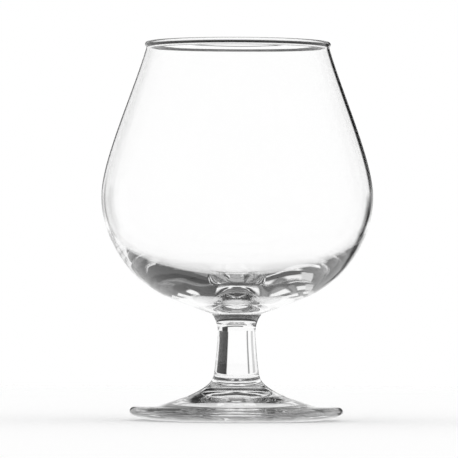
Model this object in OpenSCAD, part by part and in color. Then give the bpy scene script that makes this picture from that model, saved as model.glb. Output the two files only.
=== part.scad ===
// Brandy snifter in clear pressed and blown glass: a wide bowl that closes in
// to a narrower mouth, on a short solid stem and a thick round foot.
// The three pieces are fused while hot, so they meet on flat round faces.
// The origin is the centre of the ring that the foot rests on, and +Z is up.

/* [Bowl] */
// Greatest outside diameter of the bowl
bowl_d = 81; // [74:0.5:96]
// Outside diameter of the mouth, over the rim bead
mouth_d = 55.4; // [50:0.2:66]
// Height of the bowl from its joint with the stem to the rim
bowl_h = 81.2; // [74:0.2:96]
// Height of the widest place above the joint with the stem
belly_h = 35.1; // [32:0.1:40]
// Thickness of the wall at the belly
wall = 1.25; // [1:0.05:1.6]
// Thickness of the wall where it meets the bead
lip_t = 1.05; // [0.8:0.05:1.3]
// Thickness of the glass in the middle of the bowl's floor
floor_t = 3.8; // [3:0.1:6]
// Thickness of the bead around the rim
bead_d = 1.4; // [1.3:0.05:1.8]
// How far the bead stands out from the wall below it
bead_step = 0.25; // [0.1:0.05:0.5]
// How far below the rim the wall stops its taper and meets the bead
neck_drop = 2.3; // [2:0.1:3.5]
// Lean of the wall towards the mouth, from upright, in degrees
mouth_lean = 16.5; // [14:0.5:20]
// Slope of the underside where it leaves the stem, in degrees
underside_slope = 23.3; // [20:0.1:26]

/* [Stem] */
// Length of the stem between its two joints
stem_h = 17.9; // [14:0.1:30]
// Diameter of the collar, where the stem meets the bowl
collar_d = 14.8; // [13.4:0.1:17]
// Diameter of the waist, the thinnest place of the stem
waist_d = 11.16; // [9:0.02:12.4]
// Distance of the waist below the collar's joint
waist_drop = 5.2; // [4:0.1:6.5]
// Diameter of the stem's lower end, where it meets the foot
ankle_d = 13.5; // [12.6:0.1:15.6]
// Lean of the stem's side at its lower end, from upright, in degrees
ankle_lean = 10; // [6:0.5:14]
// Lean of the collar's side where it meets the bowl, in degrees
collar_lean = 45; // [35:1:50]

/* [Foot] */
// Outside diameter of the foot
foot_d = 63.6; // [58:0.2:74]
// Height of the foot in its middle, up to the joint with the stem
foot_h = 13.7; // [12:0.1:17]
// Thickness of the foot's flat rim
edge_t = 4.2; // [3.4:0.1:5]
// Radius that rounds the upper corner of the edge
edge_round = 1.6; // [1:0.1:2]
// Outside diameter of the ring that the foot rests on
bearing_d = 40.2; // [38:0.2:48]
// Width of the ring that the foot rests on
bearing_w = 1.6; // [1.2:0.1:3]
// Depth of the hollow under the foot
hollow_depth = 3.3; // [2.6:0.1:4]
// Diameter of the circle where the sloping top meets the flat rim
slope_d = 47.6; // [44:0.2:52]
// Diameter of the circle where the flare meets the sloping top
flare_d = 29.5; // [27:0.1:32]
// Slope of the flare where it meets the sloping top, in degrees
flare_slope = 26.8; // [24:0.2:30]
// Height of the sloping top above the flat rim
slope_h = 3; // [2.6:0.1:3.4]
// Diameter of the raised ring under the foot, over its crest
mark_d = 16.4; // [14:0.2:22]
// Thickness of the raised ring under the foot
mark_w = 0.7; // [0.5:0.05:1]

/* [Hidden] */
$fn = 96;

// Heights of the joints, the belly and the rim
ankle_z = foot_h;
collar_z = ankle_z + stem_h;
waist_z = collar_z - waist_drop;
belly_z = collar_z + belly_h;
rim_z = collar_z + bowl_h;
neck_z = rim_z - neck_drop;
floor_z = collar_z + floor_t;

// Radii
bowl_r = bowl_d / 2;
mouth_r = mouth_d / 2;
bead_r = bead_d / 2;
neck_r = mouth_r - bead_step;
throat_r = neck_r - lip_t;
cavity_r = bowl_r - wall;
collar_r = collar_d / 2;
waist_r = waist_d / 2;
ankle_r = ankle_d / 2;
foot_r = foot_d / 2;
bearing_r = bearing_d / 2;
hollow_r = bearing_r - bearing_w;
slope_r = slope_d / 2;
flare_r = flare_d / 2;
mark_r = mark_d / 2;

// Reach of each curve's tangents, as shares of the size that the curve spans
shoulder_shares = [0.24, 0.32];
belly_shares = [0.33, 0.165];
knuckle_share = [0.692, 0.274];
underside_shares = [0.239, 0.194];
cavity_shares = [0.36, 0.265];
basin_shares = [0.074, 0.148];
taper_shares = [0.16, 0.2];
collar_shares = [0.35, 0.25];
flare_shares = [0.525, 0.528];
// Slope of the underside at its knuckle, against its slope at the stem
knuckle_slope_share = 1.6;
// Place of the hip, where the inside's floor turns up into its wall
hip_share = [0.5546, 0.2974];
// Slope of the inside at the hip, against the underside's slope at the stem
hip_slope_share = 1.03;
// Pieces that each curve is drawn in
curve_n = 24;

// A unit step that leans by an angle from upright, outwards if positive
function leaning(angle) = [sin(angle), cos(angle)];

// A unit step that rises outwards at an angle from level
function rising(angle) = [cos(angle), sin(angle)];

// A smooth curve from a to d that leaves a towards b and reaches d from c
function curve(a, b, c, d) = [
    for (i = [0 : curve_n])
        let (t = i / curve_n, u = 1 - t)
        u * u * u * a + 3 * u * u * t * b + 3 * u * t * t * c + t * t * t * d
];

// A quarter of an ellipse about a centre, from one angle to the next
function quarter(centre, radii, from) = [
    for (i = [0 : curve_n])
        let (angle = from + 90 * i / curve_n)
        centre + [radii.x * cos(angle), radii.y * sin(angle)]
];

// Outside of the bowl, from the joint with the stem up to the neck
knuckle = [bowl_r * knuckle_share.x, collar_z + belly_h * knuckle_share.y];
knuckle_step = rising(underside_slope * knuckle_slope_share);
shoulder_h = neck_z - belly_z;
bead_centre = [mouth_r - bead_r, rim_z - bead_r];

function underside() = curve(
    [collar_r, collar_z],
    [collar_r, collar_z] + bowl_r * underside_shares[1] * rising(underside_slope),
    knuckle - bowl_r * underside_shares[0] * knuckle_step,
    knuckle
);

function belly() = curve(
    knuckle,
    knuckle + bowl_r * belly_shares[1] * knuckle_step,
    [bowl_r, belly_z - belly_h * belly_shares[0]],
    [bowl_r, belly_z]
);

function shoulder() = curve(
    [bowl_r, belly_z],
    [bowl_r, belly_z + shoulder_h * shoulder_shares[0]],
    [neck_r, neck_z] - shoulder_h * shoulder_shares[1] * leaning(-mouth_lean),
    [neck_r, neck_z]
);

// Inside of the bowl, from the throat down to the middle of the floor
function throat() = curve(
    [throat_r, neck_z],
    [throat_r, neck_z] - shoulder_h * shoulder_shares[1] * leaning(-mouth_lean),
    [cavity_r, belly_z + shoulder_h * shoulder_shares[0]],
    [cavity_r, belly_z]
);

hip = [bowl_r * hip_share.x, collar_z + belly_h * hip_share.y];
hip_step = rising(underside_slope * hip_slope_share);

function cavity() = curve(
    [cavity_r, belly_z],
    [cavity_r, belly_z - belly_h * cavity_shares[0]],
    hip + bowl_r * cavity_shares[1] * hip_step,
    hip
);

function basin() = curve(
    hip,
    hip - bowl_r * basin_shares[0] * hip_step,
    [bowl_r * basin_shares[1], floor_z],
    [0, floor_z]
);

module bowl() {
    color([0.86, 0.89, 0.9, 0.5])
        union() {
            rotate_extrude()
                polygon(concat(
                    [[0, collar_z]],
                    underside(),
                    belly(),
                    shoulder(),
                    [bead_centre, bead_centre - [bead_r, 0]],
                    throat(),
                    cavity(),
                    basin()
                ));
            rotate_extrude()
                translate(bead_centre)
                    circle(r = bead_r);
        }
}

// Side of the stem: a long taper up to the waist, then the collar's flare
taper_h = waist_z - ankle_z;

function taper() = curve(
    [ankle_r, ankle_z],
    [ankle_r, ankle_z] + taper_h * taper_shares[0] * leaning(-ankle_lean),
    [waist_r, waist_z - taper_h * taper_shares[1]],
    [waist_r, waist_z]
);

function collar() = curve(
    [waist_r, waist_z],
    [waist_r, waist_z + waist_drop * collar_shares[0]],
    [collar_r, collar_z] - waist_drop * collar_shares[1] * leaning(collar_lean),
    [collar_r, collar_z]
);

module stem() {
    color([0.82, 0.86, 0.87, 0.6])
        rotate_extrude()
            polygon(concat([[0, ankle_z]], taper(), collar(), [[0, collar_z]]));
}

// Top of the foot: a flare below the stem, then a slope down to a flat rim
slope_top = [flare_r, edge_t + slope_h];
flare_h = ankle_z - slope_top.y;

function flare() = curve(
    slope_top,
    slope_top + flare_h * flare_shares[0] * leaning(flare_slope - 90),
    [ankle_r, ankle_z] - flare_h * flare_shares[1] * leaning(-ankle_lean),
    [ankle_r, ankle_z]
);

// The edge: a long round below, and a tighter one above
edge_mid = edge_t - edge_round;

function lower_edge() =
    quarter([bearing_r, edge_mid], [foot_r - bearing_r, edge_mid], -90);

function upper_edge() =
    quarter([foot_r - edge_round, edge_mid], [edge_round, edge_round], 0);

// The hollow is a shallow dome: its radius follows from its width and depth
dome_r = (hollow_r * hollow_r + hollow_depth * hollow_depth) / (2 * hollow_depth);
mark_z = hollow_depth - dome_r + sqrt(dome_r * dome_r - mark_r * mark_r);

module foot() {
    color([0.82, 0.86, 0.87, 0.6])
        union() {
            difference() {
                rotate_extrude()
                    polygon(concat(
                        [[0, 0]],
                        lower_edge(),
                        upper_edge(),
                        [[slope_r, edge_t]],
                        flare(),
                        [[0, ankle_z]]
                    ));
                translate([0, 0, hollow_depth - dome_r])
                    sphere(r = dome_r);
            }
            translate([0, 0, mark_z])
                rotate_extrude()
                    translate([mark_r, 0])
                        circle(d = mark_w);
        }
}

bowl();
stem();
foot();
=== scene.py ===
import math

import bmesh
import bpy
from mathutils import Matrix, Vector
from mathutils.geometry import interpolate_bezier


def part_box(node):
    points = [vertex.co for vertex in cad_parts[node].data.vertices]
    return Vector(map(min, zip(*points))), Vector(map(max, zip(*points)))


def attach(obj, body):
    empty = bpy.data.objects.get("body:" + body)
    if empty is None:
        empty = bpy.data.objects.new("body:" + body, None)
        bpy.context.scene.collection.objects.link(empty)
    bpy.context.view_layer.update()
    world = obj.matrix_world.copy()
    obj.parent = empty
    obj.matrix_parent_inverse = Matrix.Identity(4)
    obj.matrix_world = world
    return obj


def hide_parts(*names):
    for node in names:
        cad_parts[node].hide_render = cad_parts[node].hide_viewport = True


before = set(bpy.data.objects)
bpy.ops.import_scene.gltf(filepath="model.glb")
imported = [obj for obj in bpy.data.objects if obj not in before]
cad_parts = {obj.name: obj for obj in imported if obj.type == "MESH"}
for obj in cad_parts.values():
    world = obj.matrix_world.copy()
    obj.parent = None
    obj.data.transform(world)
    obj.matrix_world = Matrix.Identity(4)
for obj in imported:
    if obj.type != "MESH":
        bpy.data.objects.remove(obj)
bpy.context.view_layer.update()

# The bowl is blown in clear soda-lime glass: a thin wall that thickens into a heavy floor.
# Its rim is cut hot and fire-polished, which leaves a small rounded bead outside.
# Its underside is fused to the stem over a flat round seam.
MM = 0.001
bowl_low, bowl_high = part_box("bowl")
collar_z = bowl_low.z
rim_z = bowl_high.z
bowl_r = bowl_high.x
belly_z = collar_z + 35.1 * MM
floor_z = collar_z + 3.8 * MM
neck_z = rim_z - 2.3 * MM
mouth_r = 27.7 * MM
bead_r = 0.7 * MM
bead_rise = 0.8 * MM
neck_r = mouth_r - 0.25 * MM
throat_r = neck_r - 1.05 * MM
cavity_r = bowl_r - 1.25 * MM
collar_r = 7.4 * MM
mouth_lean = math.radians(16.5)
underside_slope = math.radians(23.3)
knuckle_slope = 1.6 * underside_slope
hip_slope = 1.03 * underside_slope
shoulder_h = neck_z - belly_z
belly_h = belly_z - collar_z
CURVE_POINTS = 49
TURN_EIGHTH = math.radians(45)
EIGHTH_STEPS = 32
WELD_GAP = 0.0001 * MM
SEAM_GAP = 0.001 * MM
LEVEL_ENOUGH = 0.9999
SMOOTH_BELOW = math.radians(32)
GLASS_IOR = 1.52
WAVE_FADE_START = 0.6
FUSED_SLOT = 1


def at(radius, height):
    return Vector((radius, 0, height))


def leaning(angle):
    return at(math.sin(angle), math.cos(angle))


def rising(angle):
    return at(math.cos(angle), math.sin(angle))


def glass_curve(start, start_pull, end_pull, end, points=CURVE_POINTS):
    return interpolate_bezier(start, start_pull, end_pull, end, points)


def glass_arc(centre, radius, first, last, points):
    step = (last - first) / (points - 1)
    return [centre + radius * rising(first + i * step) for i in range(points)]


def turned_glass(name, stretches, seam_z, seam_r):
    """Turns an outline about the axis into a closed glass body, and marks its fused seams."""
    bm = bmesh.new()
    previous = None
    for stretch in stretches:
        for point in stretch:
            if previous and (point - previous.co).length < WELD_GAP:
                continue
            vert = bm.verts.new(point)
            if previous:
                bm.edges.new((previous, vert))
            previous = vert
    axis = {"cent": (0, 0, 0), "axis": (0, 0, 1)}
    outline = bm.verts[:] + bm.edges[:]
    bmesh.ops.spin(bm, geom=outline, angle=TURN_EIGHTH, steps=EIGHTH_STEPS, **axis)
    for eighths in (1, 2, 4):
        body = bm.verts[:] + bm.edges[:] + bm.faces[:]
        turn = eighths * TURN_EIGHTH
        bmesh.ops.spin(bm, geom=body, angle=turn, steps=1, use_duplicate=True, **axis)
    bmesh.ops.remove_doubles(bm, verts=bm.verts[:], dist=WELD_GAP)
    bmesh.ops.recalc_face_normals(bm, faces=bm.faces[:])
    for face in bm.faces:
        centre = face.calc_center_median()
        on_seam = any(abs(centre.z - z) < SEAM_GAP for z in seam_z)
        fused = on_seam and abs(face.normal.z) > LEVEL_ENOUGH and centre.xy.length < seam_r
        face.smooth = not fused
        face.material_index = FUSED_SLOT if fused else 0
    mesh = bpy.data.meshes.new(name)
    bm.to_mesh(mesh)
    bm.free()
    mesh.set_sharp_from_angle(angle=SMOOTH_BELOW)
    piece = bpy.data.objects.new(name, mesh)
    bpy.context.scene.collection.objects.link(piece)
    return piece


def clear_glass(name, wave_length, wave_height, wave_top, shade_tint=1):
    """Clear colourless glass whose faces wander a little, up to the height wave_top; a tint below
    1 darkens it into painted shade.
    """
    material = bpy.data.materials.new(name)
    material.use_nodes = True
    tree = material.node_tree
    link = tree.links.new
    shader = tree.nodes["Principled BSDF"]
    shader.inputs["Base Color"].default_value = (shade_tint, shade_tint, shade_tint, 1)
    shader.inputs["Roughness"].default_value = 0
    shader.inputs["IOR"].default_value = GLASS_IOR
    shader.inputs["Transmission Weight"].default_value = 1
    place = tree.nodes.new("ShaderNodeTexCoord")
    parts = tree.nodes.new("ShaderNodeSeparateXYZ")
    waves = tree.nodes.new("ShaderNodeTexNoise")
    waves.inputs["Scale"].default_value = 1 / wave_length
    waves.inputs["Detail"].default_value = 1
    fade = tree.nodes.new("ShaderNodeMapRange")
    fade.interpolation_type = "SMOOTHSTEP"
    fade.inputs["From Min"].default_value = WAVE_FADE_START * wave_top
    fade.inputs["From Max"].default_value = wave_top
    fade.inputs["To Min"].default_value = 1
    fade.inputs["To Max"].default_value = 0
    height = tree.nodes.new("ShaderNodeMath")
    height.operation = "MULTIPLY"
    bump = tree.nodes.new("ShaderNodeBump")
    bump.inputs["Distance"].default_value = wave_height
    link(place.outputs["Object"], parts.inputs["Vector"])
    link(place.outputs["Object"], waves.inputs["Vector"])
    link(parts.outputs["Z"], fade.inputs["Value"])
    link(waves.outputs["Fac"], height.inputs[0])
    link(fade.outputs["Result"], height.inputs[1])
    link(height.outputs["Value"], bump.inputs["Height"])
    link(bump.outputs["Normal"], shader.inputs["Normal"])
    return material


def fused_seam():
    """Nothing shows where two pieces are fused, so the seam lets light straight through."""
    material = bpy.data.materials.new("fused_seam")
    material.use_nodes = True
    tree = material.node_tree
    tree.nodes.remove(tree.nodes["Principled BSDF"])
    clear = tree.nodes.new("ShaderNodeBsdfTransparent")
    tree.links.new(clear.outputs["BSDF"], tree.nodes["Material Output"].inputs["Surface"])
    return material


# Outside of the bowl: each curve's two pulls are shares of the size that it spans
KNUCKLE_SHARES = (0.692, 0.274)
UNDERSIDE_PULLS = (0.194, 0.239)
BELLY_PULLS = (0.165, 0.33)
SHOULDER_PULLS = (0.24, 0.32)
knuckle = at(KNUCKLE_SHARES[0] * bowl_r, collar_z + KNUCKLE_SHARES[1] * belly_h)
neck = at(neck_r, neck_z)
underside = glass_curve(
    at(collar_r, collar_z),
    at(collar_r, collar_z) + UNDERSIDE_PULLS[0] * bowl_r * rising(underside_slope),
    knuckle - UNDERSIDE_PULLS[1] * bowl_r * rising(knuckle_slope),
    knuckle,
)
belly = glass_curve(
    knuckle,
    knuckle + BELLY_PULLS[0] * bowl_r * rising(knuckle_slope),
    at(bowl_r, belly_z - BELLY_PULLS[1] * belly_h),
    at(bowl_r, belly_z),
)
shoulder = glass_curve(
    at(bowl_r, belly_z),
    at(bowl_r, belly_z + SHOULDER_PULLS[0] * shoulder_h),
    neck - SHOULDER_PULLS[1] * shoulder_h * leaning(-mouth_lean),
    neck,
)

# Rim: the bead stands out from the neck over a soft notch, and a short lip leads inside
BEAD_FOOT_DEGREES = -60
BEAD_LIP_DEGREES = 180
BEAD_STEP_DEGREES = 8
NOTCH_NECK_PULL = 0.6 * MM
NOTCH_BEAD_PULL = 0.2 * MM
NOTCH_BEAD_SLOPE = math.radians(15)
NOTCH_POINTS = 25
LIP_BEAD_PULL = 0.4 * MM
LIP_THROAT_PULL = 0.9 * MM
LIP_POINTS = 13
bead_centre = at(mouth_r - bead_r, rim_z - bead_rise)


def on_bead(degrees):
    angle = math.radians(degrees)
    return bead_centre + at(bead_r * math.cos(angle), bead_rise * math.sin(angle))


bead_stops = range(BEAD_FOOT_DEGREES, BEAD_LIP_DEGREES + 1, BEAD_STEP_DEGREES)
bead = [on_bead(degrees) for degrees in bead_stops]
notch = glass_curve(
    neck,
    neck + NOTCH_NECK_PULL * leaning(-mouth_lean),
    bead[0] - NOTCH_BEAD_PULL * rising(NOTCH_BEAD_SLOPE),
    bead[0],
    NOTCH_POINTS,
)
lip = glass_curve(
    bead[-1],
    bead[-1] - at(0, LIP_BEAD_PULL),
    at(throat_r, neck_z) + LIP_THROAT_PULL * leaning(-mouth_lean),
    at(throat_r, neck_z),
    LIP_POINTS,
)

# Inside of the bowl: its wall follows the shoulder, and turns at the hip into the thick floor
HIP_SHARES = (0.5546, 0.2974)
CAVITY_PULLS = (0.36, 0.265)
BASIN_PULLS = (0.074, 0.148)
hip = at(HIP_SHARES[0] * bowl_r, collar_z + HIP_SHARES[1] * belly_h)
throat = glass_curve(
    at(throat_r, neck_z),
    at(throat_r, neck_z) - SHOULDER_PULLS[1] * shoulder_h * leaning(-mouth_lean),
    at(cavity_r, belly_z + SHOULDER_PULLS[0] * shoulder_h),
    at(cavity_r, belly_z),
)
cavity = glass_curve(
    at(cavity_r, belly_z),
    at(cavity_r, belly_z - CAVITY_PULLS[0] * belly_h),
    hip + CAVITY_PULLS[1] * bowl_r * rising(hip_slope),
    hip,
)
basin = glass_curve(
    hip,
    hip - BASIN_PULLS[0] * bowl_r * rising(hip_slope),
    at(BASIN_PULLS[1] * bowl_r, floor_z),
    at(0, floor_z),
)
bowl = turned_glass(
    "snifter_bowl",
    [[at(0, collar_z)], underside, belly, shoulder, notch, bead, lip, throat, cavity, basin],
    [collar_z],
    collar_r,
)
BLOWN_WAVE_LENGTH = 9 * MM
BLOWN_WAVE_HEIGHT = 0.02 * MM
BLOWN_WAVE_TOP = 58 * MM
bowl_glass = clear_glass("blown_clear_glass", BLOWN_WAVE_LENGTH, BLOWN_WAVE_HEIGHT, BLOWN_WAVE_TOP)
seam_clear = fused_seam()
bowl.data.materials.append(bowl_glass)
bowl.data.materials.append(seam_clear)

# The bead bends light far away at its crest and where it turns into the wall.
# A near-black tint there is painted shade: it draws the two dark lines that this bending gives the
# rim.
RIM_SHADE_SLOT = 2
RIM_SHADE_TINT = 0.001
RIM_CREST = rim_z - 0.12 * MM
RIM_SHADE_TOP = rim_z - 0.9 * MM
RIM_SHADE_FOOT = rim_z - 1.6 * MM
rim_shade_glass = clear_glass(
    "rim_painted_shade_glass", BLOWN_WAVE_LENGTH, BLOWN_WAVE_HEIGHT, BLOWN_WAVE_TOP, RIM_SHADE_TINT
)
bowl.data.materials.append(rim_shade_glass)
# Faces at the bead's crest and under the bead get the painted shade
for face in bowl.data.polygons:
    outside = face.center.xy.length > bead_centre.x
    under_bead = outside and RIM_SHADE_FOOT < face.center.z < RIM_SHADE_TOP
    if under_bead or face.center.z > RIM_CREST:
        face.material_index = RIM_SHADE_SLOT
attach(bowl, "root")
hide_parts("bowl")

# The stem is a short solid rod of pressed glass, waisted near its top.
# Its collar flares to meet the bowl, and its lower end is fused to the foot.
ankle_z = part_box("stem")[0].z
ankle_r = 6.75 * MM
waist_r = 5.58 * MM
waist_z = collar_z - 5.2 * MM
ankle_lean = math.radians(10)
collar_lean = math.radians(45)
taper_h = waist_z - ankle_z
collar_h = collar_z - waist_z
TAPER_PULLS = (0.16, 0.2)
COLLAR_PULLS = (0.35, 0.25)
taper = glass_curve(
    at(ankle_r, ankle_z),
    at(ankle_r, ankle_z) + TAPER_PULLS[0] * taper_h * leaning(-ankle_lean),
    at(waist_r, waist_z - TAPER_PULLS[1] * taper_h),
    at(waist_r, waist_z),
)
collar = glass_curve(
    at(waist_r, waist_z),
    at(waist_r, waist_z + COLLAR_PULLS[0] * collar_h),
    at(collar_r, collar_z) - COLLAR_PULLS[1] * collar_h * leaning(collar_lean),
    at(collar_r, collar_z),
)
stem = turned_glass(
    "snifter_stem",
    [[at(0, ankle_z)], taper, collar, [at(0, collar_z)]],
    [ankle_z, collar_z],
    max(ankle_r, collar_r),
)
PRESSED_WAVE_LENGTH = 7 * MM
PRESSED_WAVE_HEIGHT = 0.03 * MM
PRESSED_WAVE_TOP = 60 * MM
stem_glass = clear_glass(
    "pressed_clear_glass", PRESSED_WAVE_LENGTH, PRESSED_WAVE_HEIGHT, PRESSED_WAVE_TOP
)
stem.data.materials.append(stem_glass)
stem.data.materials.append(seam_clear)
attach(stem, "root")
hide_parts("stem")

# The foot is a thick pressed disc: a flare below the stem, a sloping top and a flat rim.
# Its edge is rounded, and curls up from a narrower ring that it rests on.
# A shallow hollow underneath carries a plain raised ring.
foot_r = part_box("foot")[1].x
edge_t = 4.2 * MM
edge_round = 1.6 * MM
bearing_r = 20.1 * MM
hollow_r = 18.5 * MM
hollow_depth = 3.3 * MM
slope_r = 23.8 * MM
flare_r = 14.75 * MM
slope_h = 3.0 * MM
flare_slope = math.radians(26.8)
mark_r = 8.2 * MM
mark_w = 0.7 * MM
edge_mid = edge_t - edge_round
flare_start = at(flare_r, edge_t + slope_h)
flare_h = ankle_z - flare_start.z
dome_r = (hollow_r ** 2 + hollow_depth ** 2) / (2 * hollow_depth)
dome_z = hollow_depth - dome_r
QUARTER_TURN = math.radians(90)
HALF_TURN = math.radians(180)
FLARE_PULLS = (0.525, 0.528)
HOLLOW_IN_POINTS = 25
HOLLOW_OUT_POINTS = 41
ROUND_POINTS = 17
EDGE_STEPS = 40


def on_dome(radius):
    return at(radius, dome_z + math.sqrt(dome_r ** 2 - radius ** 2))


def dome_stretch(first, last, points):
    return [on_dome(first + (last - first) * i / (points - 1)) for i in range(points)]


def edge_point(share):
    angle = share * QUARTER_TURN
    return at(
        bearing_r + (foot_r - bearing_r) * math.sin(angle),
        edge_mid * (1 - math.cos(angle)),
    )


hollow_in = dome_stretch(0, mark_r - mark_w / 2, HOLLOW_IN_POINTS)
hollow_out = dome_stretch(mark_r + mark_w / 2, hollow_r, HOLLOW_OUT_POINTS)
mark = glass_arc(on_dome(mark_r), mark_w / 2, HALF_TURN, 2 * HALF_TURN, ROUND_POINTS)
lower_edge = [edge_point(i / EDGE_STEPS) for i in range(EDGE_STEPS + 1)]
corner = at(foot_r - edge_round, edge_mid)
upper_edge = glass_arc(corner, edge_round, 0, QUARTER_TURN, ROUND_POINTS)
flare = glass_curve(
    flare_start,
    flare_start + FLARE_PULLS[0] * flare_h * leaning(flare_slope - QUARTER_TURN),
    at(ankle_r, ankle_z) - FLARE_PULLS[1] * flare_h * leaning(-ankle_lean),
    at(ankle_r, ankle_z),
)
foot_top = [at(slope_r, edge_t)] + flare + [at(0, ankle_z)]
foot = turned_glass(
    "snifter_foot",
    [hollow_in, mark, hollow_out, lower_edge, upper_edge, foot_top],
    [ankle_z],
    ankle_r,
)
FOOT_WAVE_LENGTH = 4 * MM
FOOT_WAVE_HEIGHT = 0.03 * MM
FOOT_WAVE_TOP = 30 * MM
foot_glass = clear_glass("foot_clear_glass", FOOT_WAVE_LENGTH, FOOT_WAVE_HEIGHT, FOOT_WAVE_TOP)
foot.data.materials.append(foot_glass)
foot.data.materials.append(seam_clear)
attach(foot, "root")
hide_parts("foot")

# The floor is a plain pale disc that fades out before its edge shows.
# Rays that come through the glass pass it, and meet the studio light below it.
FLOOR_R = 0.7
FLOOR_FADE_START = 0.45
FLOOR_FADE_END = 0.98 * FLOOR_R
FLOOR_SIDES = 96
FLOOR_TONE = 0.99


def studio_floor():
    bm = bmesh.new()
    bmesh.ops.create_circle(bm, cap_ends=True, segments=FLOOR_SIDES, radius=FLOOR_R)
    mesh = bpy.data.meshes.new("studio_floor")
    bm.to_mesh(mesh)
    bm.free()
    floor = bpy.data.objects.new("studio_floor", mesh)
    bpy.context.scene.collection.objects.link(floor)
    material = bpy.data.materials.new("floor_pale")
    material.use_nodes = True
    tree = material.node_tree
    tree.nodes.remove(tree.nodes["Principled BSDF"])
    diffuse = tree.nodes.new("ShaderNodeBsdfDiffuse")
    diffuse.inputs["Color"].default_value = (FLOOR_TONE, FLOOR_TONE, FLOOR_TONE, 1)
    clear = tree.nodes.new("ShaderNodeBsdfTransparent")
    place = tree.nodes.new("ShaderNodeTexCoord")
    length = tree.nodes.new("ShaderNodeVectorMath")
    length.operation = "LENGTH"
    fade = tree.nodes.new("ShaderNodeMapRange")
    fade.inputs["From Min"].default_value = FLOOR_FADE_START
    fade.inputs["From Max"].default_value = FLOOR_FADE_END
    path = tree.nodes.new("ShaderNodeLightPath")
    bent = tree.nodes.new("ShaderNodeMath")
    bent.operation = "MAXIMUM"
    unseen = tree.nodes.new("ShaderNodeMath")
    unseen.operation = "MAXIMUM"
    mix = tree.nodes.new("ShaderNodeMixShader")
    link = tree.links.new
    link(place.outputs["Object"], length.inputs[0])
    link(length.outputs["Value"], fade.inputs["Value"])
    link(path.outputs["Is Transmission Ray"], bent.inputs[0])
    link(path.outputs["Is Glossy Ray"], bent.inputs[1])
    link(bent.outputs["Value"], unseen.inputs[0])
    link(fade.outputs["Result"], unseen.inputs[1])
    link(unseen.outputs["Value"], mix.inputs["Fac"])
    link(diffuse.outputs["BSDF"], mix.inputs[1])
    link(clear.outputs["BSDF"], mix.inputs[2])
    link(mix.outputs["Shader"], tree.nodes["Material Output"].inputs["Surface"])
    mesh.materials.append(material)


studio_floor()

# The studio light is a white room, with cards and flags that show only in the glass.
# Each card is: left side, right side, bottom, top and tone, and a later one covers an earlier.
# Its sides are degrees to the left of the photograph's line of sight, its heights above level.
WHITE = 1.0
CARD_SOFTNESS = 1.2
MIRRORED_SOFTNESS = 2.5

# Rays that cross four faces, as the bowl's two thin walls have, see plain white instead:
# straight ones that stay below this many degrees, and all that are mirrored once
THIN_WALL_FACES = 4
THIN_WALL_TOP = 9

# Light Path's depths are whole numbers, so half a step tells one from the next
HALF_STEP = 0.5

# Rays that the glass has mirrored twice or more see a dim room with these cards
DIM_ROOM_TONE = 0.07
DEEP_CARDS = [
    (180, 130, -60, 60, 0.40),  # grey wall behind the camera, left
    (-130, -180, -60, 60, 0.40),  # grey wall behind the camera, right
    (22, -22, -58, 74, 0.30),  # grey wall in front
    (-8, -52, 12, 80, 0.25),  # grey wall, front right
    (147, 73, 19, 48, 1.00),  # softbox on the left
    (-57, -86, 16, 40, 1.00),  # softbox on the right
    (-99, -130, -8, 30, 1.00),  # softbox behind on the right
    (59, 26, 12, 17, 1.00),  # strip light, front left
    (-12, -94, -23, 1, 0.01),  # black flag on the right
    (-18, -90, -38, -17, 0.02),  # its foot
    (60, 22, -44, -3, 0.05),  # table edge, front left
    (140, 60, -44, -30, 0.05),  # table edge on the left
    (80, 60, -9, -3, 0.05),  # low flag on the left
    (44, 28, -9, 1, 0.90),  # bounce card, front left
    (22, -22, -80, -29, 0.03),  # dark table below
]

# Every ray that the glass bends or mirrors sees these cards
CARDS = [
    (24, -24, 22, 44, 0.05),  # dark overhead
    (50, 38, -16, 5, 0.60),  # grey card on the left
    (21, -19, -10, 1, 1.00),  # backdrop, lower part
    (6, -6, -1, 15, 1.00),  # backdrop, upper part
    (27, 23, -16, 5, 0.25),  # backdrop's left edge
    (11, -11, 14, 22, 1.00),  # backdrop, top
]

# Only rays that the glass has not mirrored see these cards
STRAIGHT_CARDS = [
    (-19, -56, -20, 1, 0.01),  # black flag on the right
    (-42, -60, -6, 6, 0.01),  # its outer end
    (-20, -40, 0, 19, 0.01),  # its upper part
    (14, -22, 16, 19, 0.02),  # the rail above the backdrop
]

# Only rays that the glass has mirrored see these cards
MIRRORED_CARDS = [
    (-19, -36, -16, 1, 0.01),  # black flag on the right
    (-12, -19, -16, -10, 0.01),  # its lower corner
    (-6, -26, 1, 14, 0.01),  # black strip, right of the middle
    (16, 6, 1, 14, 0.01),  # black strip, left of the middle
    (3, -3, 8, 24, 0.05),  # post above the backdrop
]


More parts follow.
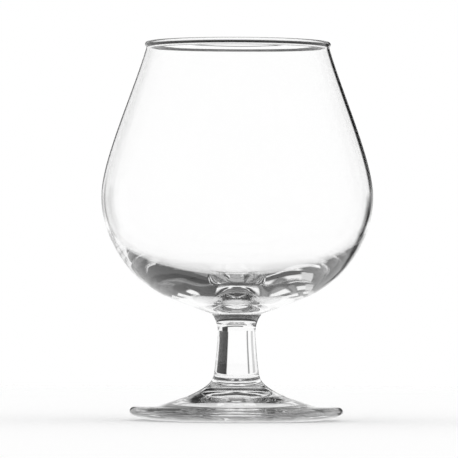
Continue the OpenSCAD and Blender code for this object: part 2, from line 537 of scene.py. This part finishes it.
def studio_world():
    world = bpy.data.worlds.new("studio_light")
    bpy.context.scene.world = world
    world.use_nodes = True
    tree = world.node_tree
    nodes, link = tree.nodes, tree.links.new
    nodes.clear()

    def plug(socket, value):
        if isinstance(value, (int, float)):
            socket.default_value = value
        else:
            link(value, socket)

    def calculate(operation, *values):
        node = nodes.new("ShaderNodeMath")
        node.operation = operation
        for socket, value in zip(node.inputs, values):
            plug(socket, value)
        return node.outputs["Value"]

    def within(value, low, high, soft):
        off_centre = calculate("ABSOLUTE", calculate("SUBTRACT", value, (low + high) / 2))
        half = (high - low) / 2
        node = nodes.new("ShaderNodeMapRange")
        node.interpolation_type = "SMOOTHSTEP"
        plug(node.inputs["Value"], off_centre)
        plug(node.inputs["From Min"], calculate("SUBTRACT", half, soft))
        plug(node.inputs["From Max"], calculate("ADD", half, soft))
        plug(node.inputs["To Min"], 1)
        plug(node.inputs["To Max"], 0)
        return node.outputs["Result"]

    def blend(share, first, second):
        node = nodes.new("ShaderNodeMix")
        plug(node.inputs["Factor"], share)
        plug(node.inputs["A"], first)
        plug(node.inputs["B"], second)
        return node.outputs["Result"]

    place = nodes.new("ShaderNodeTexCoord")
    parts = nodes.new("ShaderNodeSeparateXYZ")
    link(place.outputs["Generated"], parts.inputs["Vector"])
    x, y, z = (parts.outputs[name] for name in "XYZ")
    side = calculate("DEGREES", calculate("ARCTAN2", calculate("MULTIPLY", x, -1), y))
    height = calculate("DEGREES", calculate("ARCSINE", z))

    def painted(room, cards):
        for left, right, bottom, top, card_tone in cards:
            across = within(side, right, left, softness)
            upright = within(height, bottom, top, softness)
            room = blend(calculate("MULTIPLY", across, upright), room, card_tone)
        return room

    path = nodes.new("ShaderNodeLightPath").outputs
    mirrorings = path["Glossy Depth"]
    unmirrored = calculate("LESS_THAN", mirrorings, HALF_STEP)
    mirrored_once = calculate("COMPARE", mirrorings, 1, HALF_STEP)
    shallow = calculate("LESS_THAN", mirrorings, 1 + HALF_STEP)
    softness = blend(mirrored_once, CARD_SOFTNESS, MIRRORED_SOFTNESS)
    dim_room = painted(DIM_ROOM_TONE, DEEP_CARDS)
    tone = painted(blend(shallow, dim_room, WHITE), CARDS)
    tone = blend(unmirrored, painted(tone, MIRRORED_CARDS), painted(tone, STRAIGHT_CARDS))
    two_walls = calculate("COMPARE", path["Transmission Depth"], THIN_WALL_FACES, HALF_STEP)
    low = calculate("LESS_THAN", height, THIN_WALL_TOP)
    low_or_mirrored = calculate("MAXIMUM", calculate("MULTIPLY", unmirrored, low), mirrored_once)
    thin_wall = calculate("MULTIPLY", low_or_mirrored, two_walls)
    bent = calculate("MAXIMUM", path["Is Transmission Ray"], path["Is Glossy Ray"])
    from_glass = calculate("LESS_THAN", path["Diffuse Depth"], HALF_STEP)
    in_glass = calculate("MULTIPLY", bent, from_glass)
    shows_cards = calculate("MULTIPLY", in_glass, calculate("SUBTRACT", 1, thin_wall))
    light = nodes.new("ShaderNodeBackground")
    link(blend(shows_cards, WHITE, tone), light.inputs["Color"])
    out = nodes.new("ShaderNodeOutputWorld")
    link(light.outputs["Background"], out.inputs["Surface"])


studio_world()

# The camera stands level with the top of the stem, so it sees the rim from below
# and the foot from above, and it is turned a little, as the photograph is.
MM_PER_PIXEL = 0.2978 * MM
PHOTO_SIDE = 458
CENTRE_X_PIXEL = 237.1
HORIZON_PIXEL = 309.5
FLOOR_PIXEL = 420.6
DISTANCE_PIXELS = 4828
DISTANCE = DISTANCE_PIXELS * MM_PER_PIXEL
ROLL = math.radians(0.26)
SENSOR_WIDTH = 36
camera_z = (FLOOR_PIXEL - HORIZON_PIXEL) * MM_PER_PIXEL
aim = Vector((
    (PHOTO_SIDE / 2 - CENTRE_X_PIXEL) * MM_PER_PIXEL,
    0,
    (FLOOR_PIXEL - PHOTO_SIDE / 2) * MM_PER_PIXEL,
))
camera_data = bpy.data.cameras.new("photo_camera")
camera = bpy.data.objects.new("photo_camera", camera_data)
bpy.context.scene.collection.objects.link(camera)
bpy.context.scene.camera = camera
camera.location = (aim.x, -DISTANCE, camera_z)
sight = (aim - camera.location).normalized()
turned = sight.to_track_quat("-Z", "Y").to_matrix() @ Matrix.Rotation(ROLL, 3, "Z")
camera.rotation_euler = turned.to_euler()
camera_data.sensor_width = SENSOR_WIDTH
camera_data.lens = SENSOR_WIDTH * DISTANCE / (PHOTO_SIDE * MM_PER_PIXEL)

# Light is followed through many faces of glass, and straight through the fused seams
GLASS_BOUNCES = 32
SEAM_BOUNCES = 16
scene = bpy.context.scene
scene.view_settings.view_transform = "Standard"
scene.cycles.max_bounces = GLASS_BOUNCES
scene.cycles.transmission_bounces = GLASS_BOUNCES
scene.cycles.glossy_bounces = GLASS_BOUNCES
scene.cycles.transparent_max_bounces = SEAM_BOUNCES
